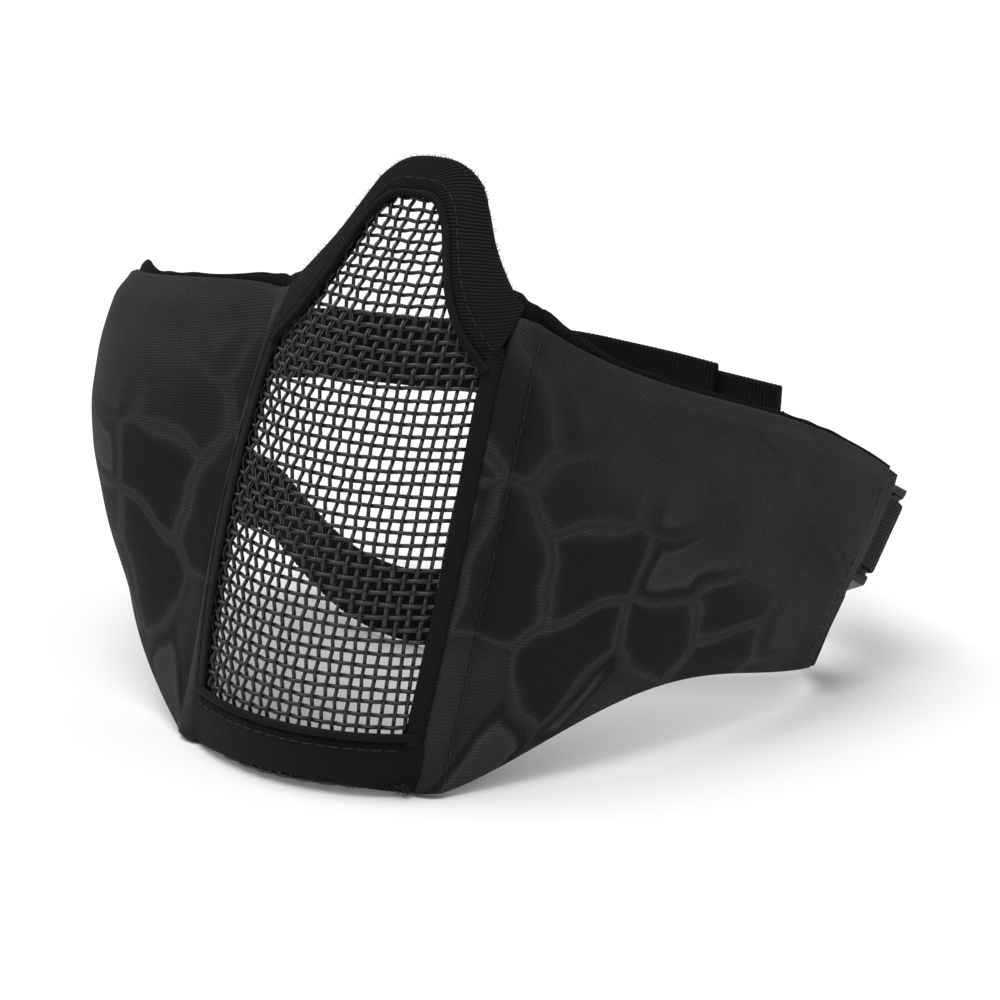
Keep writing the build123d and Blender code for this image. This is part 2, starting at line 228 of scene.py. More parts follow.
def clothMaterial(name, look):
    # woven cloth: base colour, painted shade in the gaps between yarns, mottling, fuzz
    mat, nodes, links, shader = newMaterial(name)
    yarn = nodes.new("ShaderNodeGroup")
    yarn.node_tree = weave
    yarn.inputs["Pitch"].default_value = look["pitch"]
    yarn.inputs["Slant"].default_value = look.get("slant", 0.0)
    yarn.inputs["Ribs"].default_value = look.get("ribs", 0.0)
    place = nodes.new("ShaderNodeTexCoord")
    spots = nodes.new("ShaderNodeTexNoise")
    spots.inputs["Scale"].default_value = look.get("spotScale", 60.0)
    spots.inputs["Detail"].default_value = 4.0
    links.new(place.outputs["Object"], spots.inputs["Vector"])
    fuzz = nodes.new("ShaderNodeTexNoise")
    fuzz.inputs["Scale"].default_value = 2600.0
    fuzz.inputs["Detail"].default_value = 2.0
    links.new(place.outputs["Object"], fuzz.inputs["Vector"])
    dark, light = look["dark"], look["light"]
    base = colourRamp(nodes, links, spots.outputs["Fac"], [(0.3, dark), (0.7, light)])
    if look.get("print"):
        base = look["print"](nodes, links, base)
    # painted shade: colour darkened where the yarn height is low, in the gaps between yarns; the look's
    # "gap" tone sets how dark
    gapShade = colourRamp(nodes, links, yarn.outputs["Height"], greys((0.15, look.get("gap", 0.5)), (0.8, 1)))
    base = mixColour(nodes, links, "MULTIPLY", 1.0, base, gapShade)
    grit = colourRamp(nodes, links, fuzz.outputs["Fac"], greys((0.3, 0.75), (0.7, 1.2)))
    base = mixColour(nodes, links, "MULTIPLY", 1.0, base, grit)
    links.new(base, shader.inputs["Base Color"])
    fluff = mathNode(nodes, links, "MULTIPLY", fuzz.outputs["Fac"], 0.35)
    height = mathNode(nodes, links, "ADD", yarn.outputs["Height"], fluff)
    bump = nodes.new("ShaderNodeBump")
    bump.inputs["Strength"].default_value = look.get("bump", 0.6)
    bump.inputs["Distance"].default_value = look.get("depth", 0.0003)
    links.new(height, bump.inputs["Height"])
    links.new(bump.outputs[0], shader.inputs["Normal"])
    shader.inputs["Roughness"].default_value = look.get("rough", 0.85)
    shader.inputs["Sheen Weight"].default_value = look.get("sheen", 0.25)
    shader.inputs["Sheen Roughness"].default_value = 0.45
    shader.inputs["Specular IOR Level"].default_value = look.get("spec", 0.3)
    return mat


printSize = {"cells": 45.0, "jitter": 0.85, "warp": 42.0, "push": 0.017, "patches": 15.0,
             "upwards": 3.4, "rearwards": 2.5}


def cellPrint(nodes, links, base):
    # soft rounded cells low on the front cloth: dark ones with a pale halo, a few pale ones with a dark rim
    uv = nodes.new("ShaderNodeUVMap")
    uv.uv_map = "uv"
    warp = nodes.new("ShaderNodeTexNoise")
    warp.inputs["Scale"].default_value = printSize["warp"]
    warp.inputs["Detail"].default_value = 1.0
    links.new(uv.outputs[0], warp.inputs["Vector"])
    shift = nodes.new("ShaderNodeVectorMath")
    shift.operation = "MULTIPLY_ADD"
    shift.inputs[1].default_value = (printSize["push"], printSize["push"], 0.0)
    links.new(warp.outputs["Color"], shift.inputs[0])
    links.new(uv.outputs[0], shift.inputs[2])
    edges, cells = nodes.new("ShaderNodeTexVoronoi"), nodes.new("ShaderNodeTexVoronoi")
    edges.feature = "DISTANCE_TO_EDGE"
    for node in (edges, cells):
        node.voronoi_dimensions = "2D"
        node.inputs["Scale"].default_value = printSize["cells"]
        node.inputs["Randomness"].default_value = printSize["jitter"]
        links.new(shift.outputs[0], node.inputs["Vector"])
    split = nodes.new("ShaderNodeSeparateColor")
    links.new(cells.outputs["Color"], split.inputs[0])
    spread = edges.outputs["Distance"]
    darkTones = greys((0.0, 0.024), (0.06, 0.036), (0.1, 0.014), (0.16, 0.006))
    paleTones = greys((0.02, 0.02), (0.07, 0.006), (0.13, 0.008), (0.19, 0.046), (0.3, 0.034))
    darkCell = colourRamp(nodes, links, spread, darkTones)
    paleCell = colourRamp(nodes, links, spread, paleTones)
    midCell = colourRamp(nodes, links, spread, greys((0.0, 0.018), (0.1, 0.02), (0.3, 0.027)))
    isPale = colourRamp(nodes, links, split.outputs[0], greys((0.7, 0), (0.71, 1)))
    isMid = colourRamp(nodes, links, split.outputs[0], greys((0.3, 1), (0.31, 0)))
    body = mixColour(nodes, links, "MIX", isPale, darkCell, paleCell)
    body = mixColour(nodes, links, "MIX", isMid, body, midCell)
    patchy = nodes.new("ShaderNodeTexNoise")
    patchy.inputs["Scale"].default_value = printSize["patches"]
    patchy.inputs["Detail"].default_value = 1.5
    links.new(uv.outputs[0], patchy.inputs["Vector"])
    place = nodes.new("ShaderNodeSeparateXYZ")
    links.new(uv.outputs[0], place.inputs[0])
    upwards = mathNode(nodes, links, "MULTIPLY", place.outputs[1], printSize["upwards"])
    rearwards = mathNode(nodes, links, "MULTIPLY", place.outputs[0], printSize["rearwards"])
    away = mathNode(nodes, links, "ADD", upwards, rearwards)
    share = mathNode(nodes, links, "ADD", patchy.outputs["Fac"], away)
    clear = colourRamp(nodes, links, share, greys((0.72, 0), (0.86, 1)))
    return mixColour(nodes, links, "MIX", clear, body, base)


# in each look, "gap" is the tone of the painted shade in the gaps between yarns
camoLook = {"pitch": 0.00115, "slant": 0.6, "dark": (0.016, 0.016, 0.018), "light": (0.03, 0.03, 0.034),
            "print": cellPrint, "gap": 0.45, "bump": 0.6, "depth": 0.0003, "rough": 0.8,
            "sheen": 0.03, "spec": 0.25}
twillLook = {"pitch": 0.00085, "slant": -0.8, "ribs": 0.85, "dark": (0.0035, 0.0035, 0.004),
             "light": (0.0065, 0.0065, 0.0075), "gap": 0.35, "bump": 0.9, "depth": 0.0004, "rough": 0.85,
             "sheen": 0.02, "spec": 0.2}
liningLook = {"pitch": 0.0009, "slant": 0.0, "dark": (0.003, 0.003, 0.0033),
              "light": (0.006, 0.006, 0.0065), "gap": 0.6, "bump": 0.5, "rough": 0.95, "sheen": 0.03,
              "spec": 0.15}
elasticLook = {"pitch": 0.0011, "slant": 0.0, "ribs": 0.3, "dark": (0.004, 0.004, 0.0045),
               "light": (0.007, 0.007, 0.008), "gap": 0.4, "bump": 0.8, "depth": 0.0003, "rough": 0.85,
               "sheen": 0.02, "spec": 0.2}
webLook = {"pitch": 0.0013, "slant": 0.0, "ribs": 0.3, "dark": (0.006, 0.006, 0.0068),
           "light": (0.011, 0.011, 0.012), "gap": 0.4, "bump": 0.9, "depth": 0.0003, "rough": 0.6,
           "sheen": 0.02, "spec": 0.35}
foamLook = {"pitch": 0.0006, "dark": (0.01, 0.01, 0.011), "light": (0.02, 0.02, 0.02), "rough": 1.0,
            "sheen": 0.02}


def wireMaterial():
    # black coated steel: half gloss, the coat worn paler in small random spots
    mat, nodes, links, shader = newMaterial("blackWire")
    place = nodes.new("ShaderNodeTexCoord")
    spots = nodes.new("ShaderNodeTexNoise")
    spots.inputs["Scale"].default_value = 900.0
    spots.inputs["Detail"].default_value = 3.0
    links.new(place.outputs["Object"], spots.inputs["Vector"])
    colour = colourRamp(nodes, links, spots.outputs["Fac"], greys((0.35, 0.004), (0.75, 0.012)))
    links.new(colour, shader.inputs["Base Color"])
    rough = colourRamp(nodes, links, spots.outputs["Fac"], greys((0.3, 0.32), (0.7, 0.5)))
    links.new(rough, shader.inputs["Roughness"])
    shader.inputs["Metallic"].default_value = 0.0
    shader.inputs["Specular IOR Level"].default_value = 0.6
    bump = nodes.new("ShaderNodeBump")
    bump.inputs["Strength"].default_value = 0.25
    bump.inputs["Distance"].default_value = 0.0001
    links.new(spots.outputs["Fac"], bump.inputs["Height"])
    links.new(bump.outputs[0], shader.inputs["Normal"])
    return mat


def plasticMaterial():
    mat, nodes, links, shader = newMaterial("mouldedPlastic")
    place = nodes.new("ShaderNodeTexCoord")
    grain = nodes.new("ShaderNodeTexNoise")
    grain.inputs["Scale"].default_value = 1800.0
    grain.inputs["Detail"].default_value = 3.0
    links.new(place.outputs["Object"], grain.inputs["Vector"])
    bluish = [(0.3, (0.016, 0.016, 0.018)), (0.7, (0.024, 0.024, 0.027))]
    colour = colourRamp(nodes, links, grain.outputs["Fac"], bluish)
    links.new(colour, shader.inputs["Base Color"])
    rough = colourRamp(nodes, links, grain.outputs["Fac"], greys((0.3, 0.28), (0.7, 0.42)))
    links.new(rough, shader.inputs["Roughness"])
    bump = nodes.new("ShaderNodeBump")
    bump.inputs["Strength"].default_value = 0.15
    bump.inputs["Distance"].default_value = 0.0001
    links.new(grain.outputs["Fac"], bump.inputs["Height"])
    links.new(bump.outputs[0], shader.inputs["Normal"])
    return mat


def threadMaterial():
    mat, nodes, links, shader = newMaterial("blackThread")
    place = nodes.new("ShaderNodeTexCoord")
    twist = nodes.new("ShaderNodeTexNoise")
    twist.inputs["Scale"].default_value = 2500.0
    links.new(place.outputs["Object"], twist.inputs["Vector"])
    colour = colourRamp(nodes, links, twist.outputs["Fac"], greys((0.3, 0.004), (0.7, 0.012)))
    links.new(colour, shader.inputs["Base Color"])
    shader.inputs["Roughness"].default_value = 0.7
    return mat


camoCloth = clothMaterial("camoCloth", camoLook)
twillTape = clothMaterial("twillTape", twillLook)
liningCloth = clothMaterial("liningCloth", liningLook)
elasticBand = clothMaterial("elasticBand", elasticLook)
webbing = clothMaterial("webbing", webLook)
foamPad = clothMaterial("foamPad", foamLook)
wire = wireMaterial()
plastic = plasticMaterial()
thread = threadMaterial()
print("materials ready")

panelSize = {"seamHeight": 101.5, "chinHalf": 27.2, "swell": 12.6, "tuck": 12.3, "archTop": 131.5}


def halfChord(h):
    top = panelSize["seamHeight"]
    t = h / top
    if h > top:
        return panelSize["chinHalf"] + panelSize["swell"] - panelSize["tuck"] - 0.1 * (h - top)
    return panelSize["chinHalf"] + panelSize["swell"] * t - panelSize["tuck"] * t * t


def sagitta(h):
    return 9 + 2 * h / panelSize["seamHeight"] + 5 * ramp((h - 80) / 50)


def seamDepth(h):
    t = h / panelSize["seamHeight"]
    return 24.5 * t + 20 * t * t + 5 * ramp((h - 80) / 50) + 5 * ramp((h - 95) / 35)


def arcOf(h):
    s, g = halfChord(h), sagitta(h)
    r = (s * s + g * g) / (2 * g)
    return r, seamDepth(h) - g + r, math.asin(s / r)


def panelSurface(a, h):
    # a is the arc length from the middle line, h the height
    r, c, _ = arcOf(h)
    t = a / r
    return Vector((r * math.sin(t), c - r * math.cos(t), h))


def panelNormal(a, h):
    e = 0.05
    da = panelSurface(a + e, h) - panelSurface(a - e, h)
    dh = panelSurface(a, h + e) - panelSurface(a, h - e)
    return da.cross(dh).normalized()


def arcLength(x, h):
    # arc length from the middle for a point at half width x
    r = arcOf(h)[0]
    return r * math.asin(max(-0.99, min(0.99, x / r)))


def onPanel(a, h, off):
    return panelSurface(a, h) + panelNormal(a, h) * off


outerArch = [
    (29.0, 99.6), (22.9, 105.8), (17.4, 112.6), (13.2, 120.2), (10.1, 125.3),
    (5.5, 128.8), (0.0, 129.9)]
rimArch = [
    (27.6, 89.0), (20.9, 96.6), (16.4, 103.6), (13.0, 111.0), (9.9, 117.8),
    (5.6, 122.6), (0.0, 123.4)]


# the tape spreads wider on the right side of the nose
outerRight = [
    (29.6, 99.6), (25.0, 105.8), (20.6, 112.6), (16.6, 120.2), (13.0, 125.6),
    (7.2, 129.2), (0.0, 129.9)]


def archLine(points, s):
    # s from -1 at the left seam to 1 at the right
    right = outerRight if points is outerArch else points
    full = [Vector((-x, z, 0)) for x, z in points] + [Vector((x, z, 0)) for x, z in reversed(right[:-1])]
    p = curveThrough(full, (s + 1) / 2)
    return arcLength(p.x, p.y), p.y


def archReach(h):
    # half width of the wire under the nose tape at height h
    pts = outerArch
    if h <= pts[0][1]:
        return halfChord(h)
    for (x0, z0), (x1, z1) in zip(pts, pts[1:]):
        if z0 <= h <= z1:
            return x0 + (x1 - x0) * (h - z0) / (z1 - z0)
    return 0.0


weaveSize = {"pitch": 2.72, "radius": 0.48, "wave": 0.42, "steps": 4, "sides": 6, "stray": 0.16}


def wireTree():
    tree = bpy.data.node_groups.new("wireFromLines", "GeometryNodeTree")
    tree.interface.new_socket("Geometry", in_out="INPUT", socket_type="NodeSocketGeometry")
    tree.interface.new_socket("Radius", in_out="INPUT", socket_type="NodeSocketFloat")
    tree.interface.new_socket("Sides", in_out="INPUT", socket_type="NodeSocketInt")
    tree.interface.new_socket("Finish", in_out="INPUT", socket_type="NodeSocketMaterial")
    tree.interface.new_socket("Geometry", in_out="OUTPUT", socket_type="NodeSocketGeometry")
    n, l = tree.nodes, tree.links
    gin, gout = n.new("NodeGroupInput"), n.new("NodeGroupOutput")
    toCurve = n.new("GeometryNodeMeshToCurve")
    ring = n.new("GeometryNodeCurvePrimitiveCircle")
    toMesh = n.new("GeometryNodeCurveToMesh")
    toMesh.inputs["Fill Caps"].default_value = True
    smooth = n.new("GeometryNodeSetShadeSmooth")
    real = n.new("GeometryNodeRealizeInstances")
    paint = n.new("GeometryNodeSetMaterial")
    l.new(gin.outputs["Geometry"], toCurve.inputs[0])
    l.new(gin.outputs["Radius"], ring.inputs["Radius"])
    l.new(gin.outputs["Sides"], ring.inputs["Resolution"])
    l.new(toCurve.outputs[0], toMesh.inputs["Curve"])
    l.new(ring.outputs[0], toMesh.inputs["Profile Curve"])
    l.new(toMesh.outputs[0], smooth.inputs["Geometry"])
    l.new(smooth.outputs[0], real.inputs[0])
    l.new(real.outputs[0], paint.inputs["Geometry"])
    l.new(gin.outputs["Finish"], paint.inputs["Material"])
    l.new(paint.outputs[0], gout.inputs[0])
    return tree


wireNodes = wireTree()


def linesObject(name, lines):
    # a mesh of edges only, one open line after another
    verts, edges = [], []
    for line in lines:
        start = len(verts)
        verts += [tuple(p) for p in line]
        edges += [(start + i, start + i + 1) for i in range(len(line) - 1)]
    mesh = bpy.data.meshes.new(name)
    mesh.from_pydata(verts, edges, [])
    obj = bpy.data.objects.new(name, mesh)
    bpy.context.scene.collection.objects.link(obj)
    return obj


def wired(name, lines, radius, sides, material):
    obj = linesObject(name, lines)
    mod = obj.modifiers.new("wire", "NODES")
    mod.node_group = wireNodes
    ids = {s.name: s.identifier for s in wireNodes.interface.items_tree if s.in_out == "INPUT"}
    mod[ids["Radius"]] = radius
    mod[ids["Sides"]] = sides
    mod[ids["Finish"]] = material
    return bakeModifiers(obj)


def weaveLines():
    pitch, wave, steps = weaveSize["pitch"], weaveSize["wave"], weaveSize["steps"]
    # row heights: even steps along the leaning middle line
    heights = [1.8]
    while heights[-1] < panelSize["archTop"]:
        h = heights[-1]
        lean = (panelSurface(0, h + 0.5) - panelSurface(0, h - 0.5)).normalized()
        heights.append(h + pitch * lean.z)
    rng = random.Random(7)
    bend = [(rng.uniform(0, 6.3), rng.uniform(0.1, 0.2)) for _ in range(200)]

    def rowHeight(t):
        i = max(0, min(int(t), len(heights) - 2))
        return heights[i] + (heights[i + 1] - heights[i]) * (t - i)

    def sway(k, t):
        phase, rate = bend[k % len(bend)]
        return weaveSize["stray"] * math.sin(phase + t * rate * 3.1) * (1 + 1.2 * ramp((t - 34) / 10))

    def node(i, t, off):
        h = rowHeight(t)
        return onPanel(i * pitch + sway(i + 40, t), h + sway(int(t) * 3 + 7, i) * 0.6, off)

    lines = []
    count = 13
    for i in range(-count, count + 1):
        line = []
        for k in range(int((len(heights) - 1) * steps)):
            t = k / steps
            h = rowHeight(t)
            x = arcOf(h)[0] * math.sin(i * pitch / arcOf(h)[0])
            if abs(x) > min(archReach(h), halfChord(h) + 0.5) or h > panelSize["archTop"] - 1.6:
                if line:
                    lines.append(line)
                line = []
                continue
            off = wave * math.cos(math.pi * t) * (1 if i % 2 else -1)
            line.append(put(onPanel(i * pitch + sway(i + 40, t), h, off)))
        if len(line) > 3:
            lines.append(line)
    for j, h in enumerate(heights):
        reach = min(archReach(h), halfChord(h) + 0.5)
        line = []
        for k in range(-count * steps, count * steps + 1):
            u = k / steps
            a = u * pitch
            if abs(a) > arcLength(reach, h) or h > panelSize["archTop"] - 1.6:
                continue
            off = -wave * math.cos(math.pi * u) * (-1 if j % 2 else 1) * -1
            line.append(put(onPanel(a, h + sway(j + 90, u), off)))
        if len(line) > 3:
            lines.append(line)
    return [line for line in lines if len(line) > 3]


wires = wired("wire_panel", weaveLines(), weaveSize["radius"] * mm, weaveSize["sides"], wire)
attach(wires, "front")
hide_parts("mesh_panel")
print("woven wire", len(wires.data.polygons))

tapeSize = {"clear": 0.95, "thick": 0.65, "puff": 0.35}


def foldedTape(name, pairs, puff=None, thick=None, clear=None):
    # pairs of (rim, edge) points on the panel: front leaf, round the edge, back leaf
    puff = tapeSize["puff"] if puff is None else puff
    thick = tapeSize["thick"] if thick is None else thick
    clear = tapeSize["clear"] if clear is None else clear
    leaf, turn = 10, 8
    rows, uvs = [], []
    along, last = 0.0, None
    for (ra, rh), (ea, eh) in pairs:
        rim, edge = panelSurface(ra, rh), panelSurface(ea, eh)
        n = panelNormal((ra + ea) / 2, (rh + eh) / 2)
        out = (edge - rim)
        out = (out - n * out.dot(n)).normalized()
        if last is not None:
            along += ((rim + edge) * 0.5 - last).length
        last = (rim + edge) * 0.5
        outer, inner = [], []
        for k in range(leaf + 1):
            f = k / leaf
            a, h = ra + (ea - ra) * f, rh + (eh - rh) * f
            nk = panelNormal(a, h)
            bulge = puff * math.sin(math.pi * min(1, f * 1.05)) ** 0.7
            end = 1 - 0.45 * (1 - ramp(f * 5))
            outer.append((panelSurface(a, h) + nk * (clear + thick * end + bulge), f))
            inner.append((panelSurface(a, h) + nk * clear, f))
        for k in range(1, turn):
            t = math.pi * k / turn
            d = out * math.sin(t) + n * math.cos(t)
            outer.append((edge + d * (clear + thick), 1 + k / turn * 0.3))
            inner.append((edge + d * clear, 1 + k / turn * 0.3))
        for k in range(leaf, -1, -1):
            f = k / leaf
            a, h = ra + (ea - ra) * f, rh + (eh - rh) * f
            nk = panelNormal(a, h)
            end = 1 - 0.45 * (1 - ramp(f * 5))
            bulge = puff * 0.4 * math.sin(math.pi * f)
            outer.append((panelSurface(a, h) - nk * (clear + thick * end + bulge), 2.3 - f))
            inner.append((panelSurface(a, h) - nk * clear, 2.3 - f))
        width = (edge - rim).length
        loop = outer + list(reversed(inner))
        rows.append([put(p) for p, _ in loop])
        uvs.append([(along * mm, v * width * mm) for _, v in loop])
    obj = gridMesh(name, rows, closedAcross=True, uvs=uvs, caps=True)
    return facesOut(obj)


def rolledRim(name, points, radius, off):
    line = [put(onPanel(a, h, off)) for a, h in points]
    return wired(name, [line], radius * mm, 10, twillTape)


noseSteps = 90
nosePairs = []
for i in range(noseSteps + 1):
    s = -1 + 2 * i / noseSteps
    nosePairs.append((archLine(rimArch, s), archLine(outerArch, s)))
noseTape = foldedTape("nose_tape", nosePairs)
finishShape(noseTape, twillTape)
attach(noseTape, "front")
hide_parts("nose_binding")


def chinEdge(x):
    return 2.0 - 2.0 * (x / 27.2) ** 2


chinPairs = []
for i in range(61):
    x = -29.4 + 58.8 * i / 60
    chinPairs.append(((arcLength(x, 12.3), 12.0), (arcLength(x, 2), chinEdge(x) + 1.9)))
chinTape = foldedTape("chin_tape", chinPairs)
finishShape(chinTape, twillTape)
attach(chinTape, "front")
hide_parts("chin_binding")

rimSize = {"radius": 0.95, "noseOff": 1.75, "chinOff": 1.6}


def rimPath(s):
    # the rolled rim runs just inside the tape's inner edge
    a, h = archLine(rimArch, s)
    return a * 0.975, h - 0.55


nosePath = [rimPath(-1 + 2 * i / 80) for i in range(81)]
noseRim = rolledRim("nose_rim", nosePath, rimSize["radius"], rimSize["noseOff"])
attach(noseRim, "front")
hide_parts("nose_piping")
chinPath = [(arcLength(-28 + 56 * i / 60, 12.8), 12.9) for i in range(61)]
chinRim = rolledRim("chin_rim", chinPath, rimSize["radius"], rimSize["chinOff"])
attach(chinRim, "front")
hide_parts("chin_piping")

for side, name in ((-1, "left"), (1, "right")):
    pairs = []
    for i in range(41):
        h = 11.0 + 82.0 * i / 40
        edge = arcLength(halfChord(h), h)
        pairs.append(((side * (edge - 3.0), h), (side * edge, h)))
    band = foldedTape(name + "_side_tape", pairs, puff=0.25, thick=0.55)
    finishShape(band, twillTape)
    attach(band, "front")
    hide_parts(name + "_seam_binding")
print("tapes done")

wingStations = {
    "right": [
        ((34.5, 49.0, 97.0), (34.5, 3.0, 0.8), 0.0),
        ((51.0, 67.0, 83.5), (49.5, 24.5, 8.5), 2.0),
        ((66.5, 86.0, 74.5), (63.0, 48.0, 15.0), 3.0),
        ((80.0, 106.5, 65.0), (74.0, 71.5, 13.3), 3.0),
        ((93.0, 129.0, 49.5), (85.0, 95.6, 8.5), 1.0),
    ],
    "left": [
        ((-34.5, 49.0, 97.0), (-34.5, 3.0, 0.8), 0.0),
        ((-58.0, 50.0, 97.0), (-55.0, 17.0, 14.0), 4.0),
        ((-80.0, 54.0, 95.0), (-72.0, 36.0, 28.0), 8.0),
        ((-91.0, 74.0, 90.0), (-83.0, 61.0, 36.0), 8.0),
        ((-88.0, 97.0, 74.0), (-84.0, 87.0, 29.0), 3.0),
    ],
}
wingSize = {"core": 1.1, "length": 105.0, "tall": 90.0, "foldWide": 7.0, "puff": 1.3, "hem": 6.0}


def through(values, s):
    n = len(values) - 1
    total = values[0] * 0
    for i, v in enumerate(values):
        w = 1.0
        for j in range(n + 1):
            if j != i:
                w *= (s * n - j) / (i - j)
        total = total + v * w
    return total


def wingAt(side, s):
    rows = wingStations[side]
    tops = [Vector(r[0]) for r in rows]
    lows = [Vector(r[1]) for r in rows]
    swell = through([r[2] for r in rows], s)
    e = 0.01
    after = through(tops, s + e) + through(lows, s + e)
    run = (after - through(tops, s - e) - through(lows, s - e)).normalized()
    top, low = through(tops, s), through(lows, s)
    out = run.cross(top - low).normalized()
    if side == "left":
        out = -out
    return top, low, swell, run, out


def wingPoint(side, s, q, off):
    # s from the crease (0) to the rear edge (1), q from the bottom edge (0) to the top (1)
    top, low, swell, _, out = wingAt(side, s)
    return low + (top - low) * q + out * (swell * 4 * q * (1 - q) + off)


def seamPoint(side, q, off):
    # on the panel's side edge; q from the bottom to the top of the seam
    sign = -1 if side == "left" else 1
    h = 0.6 + 98.9 * q
    r, c, a = arcOf(h)
    a += 1.2 / r
    return Vector((sign * (r + off) * math.sin(a), c - (r + off) * math.cos(a), h))


def foldPoint(side, f, q, off):
    # from the seam (f 0) to the crease (f 1)
    near = seamPoint(side, q, off)
    far = wingPoint(side, 0.0, q, off)
    return near + (far - near) * f


def clothHeight(s, q):
    # how far the outer cloth stands off the middle: thin at the edges, full over the padding
    edge = min(ramp(q / 0.10), ramp((1 - q) / 0.08), ramp((s + 0.01) / 0.05), ramp((1.0 - s) / 0.05))
    return 0.7 + wingSize["puff"] * edge


def wrinkle(side, s, q):
    # long soft creases that fan out from the seam and the strap ends
    sign = 1 if side == "right" else 2.3
    a = math.sin(9 * s + 4 * q + sign) * 0.35 + math.sin(17 * s - 7 * q + 2 * sign) * 0.2
    b = math.sin(31 * q + 5 * s * s + sign) * 0.12 * (1 - s)
    c = math.sin(26 * s + 13 * q) * 0.1
    return (a + b + c) * min(ramp(s / 0.12), 1) * ramp(q / 0.06) * ramp((1 - q) / 0.06)


def outerCloth(side):
    # camouflage skin: rolled seam fold, stitched crease, body, turned hems
    foldSteps, bodySteps, tall, hemSteps = 10, 70, 60, 5
    rows, uvs = [], []
    for i in range(foldSteps + bodySteps + 1):
        inFold = i <= foldSteps
        s = 0 if inFold else (i - foldSteps) / bodySteps
        f = i / foldSteps if inFold else 1
        u = (f - 1) * wingSize["foldWide"] if inFold else s * wingSize["length"]
        row, uvRow = [], []

        def skin(q, off):
            if inFold:
                return foldPoint(side, f, q, off)
            return wingPoint(side, s, q, off)

        for k in range(-hemSteps, tall + hemSteps + 1):
            q = min(max(k / tall, 0), 1)
            if inFold:
                off = 1.0 + 1.1 * math.sin(math.pi * min(f * 1.02, 1)) ** 0.5
            else:
                sunk = 0.45 * math.exp(-((s * wingSize["length"]) / 0.8) ** 2)
                off = clothHeight(s, q) + wrinkle(side, s, q) - sunk
            v = q * wingSize["tall"]
            if k < 0 or k > tall:
                # hem turned round the edge on to the back
                t = (-k if k < 0 else k - tall) / hemSteps
                sink = off - (off + 1.3) * ramp(t * 2)
                back = 1 - abs(1 - 2 * min(t, 0.5)) ** 2
                tuck = max(0.0, t - 0.4) * wingSize["hem"] - 0.5 * back
                height = max(20.0, (skin(1, 0) - skin(0, 0)).length)
                qq = q + (tuck / height if k < 0 else -tuck / height)
                row.append(put(skin(qq, sink)))
                v += (-t if k < 0 else t) * wingSize["hem"]
            else:
                row.append(put(skin(q, off)))
            uvRow.append((u * mm, v * mm))
        rows.append(row)
        uvs.append(uvRow)
    # rear hem
    for t in (0.25, 0.5, 0.75, 1.0):
        row, uvRow = [], []
        for k in range(-hemSteps, tall + hemSteps + 1):
            q = min(max(k / tall, 0.02), 0.98)
            over = 0.6 * math.sin(math.pi * min(1, t)) / wingSize["length"]
            s = 1 + over - max(0, t - 0.5) * wingSize["hem"] / wingSize["length"]
            row.append(put(wingPoint(side, min(s, 1.004), q, 0.7 - 2.0 * ramp(t * 1.6))))
            uvRow.append(((wingSize["length"] + t * 5) * mm, q * wingSize["tall"] * mm))
        rows.append(row)
        uvs.append(uvRow)
    obj = gridMesh(side + "_outer_cloth", rows, uvs=uvs)
    solid = obj.modifiers.new("thick", "SOLIDIFY")
    solid.thickness = 0.45 * mm
    solid.offset = -1
    return bakeModifiers(obj)


def liningSheet(side):
    rows, uvs = [], []
    for i in range(61):
        s = i / 60 * 0.985
        row, uvRow = [], []
        for k in range(41):
            proud = 0.022 + (0.035 * math.exp(-((s - 0.52) / 0.06) ** 2) if side == "left" else 0.0)
            proud += 0.018 * math.exp(-(s / 0.12) ** 2)
            proud += 0.002 * math.sin(55 * s + 2.0 * math.sin(17 * s))
            q = 0.02 + (1.0 + proud - 0.02) * k / 40
            ends = min(ramp(q / 0.10), ramp((1.03 - q) / 0.08))
            edge = min(ends, ramp((s + 0.03) / 0.06), ramp((1.0 - s) / 0.06))
            off = -0.9 - 1.2 * edge + 0.5 * wrinkle(side, s, min(q, 1)) * edge
            row.append(put(wingPoint(side, s, q, off)))
            uvRow.append((s * wingSize["length"] * mm, q * wingSize["tall"] * mm))
        rows.append(row)
        uvs.append(uvRow)
    obj = gridMesh(side + "_inner_lining", rows, uvs=uvs)
    solid = obj.modifiers.new("thick", "SOLIDIFY")
    solid.thickness = 0.6 * mm
    solid.offset = 0
    return bakeModifiers(obj)


def foamSlab(side):
    rows = []
    for i in range(31):
        s = 0.05 + 0.9 * i / 30
        front = [put(wingPoint(side, s, 0.05 + 0.9 * k / 20, 0.75)) for k in range(21)]
        back = [put(wingPoint(side, s, 0.05 + 0.9 * k / 20, -0.85)) for k in range(20, -1, -1)]
        rows.append(front + back)
    return facesOut(gridMesh(side + "_foam_core", rows, closedAcross=True, caps=True))


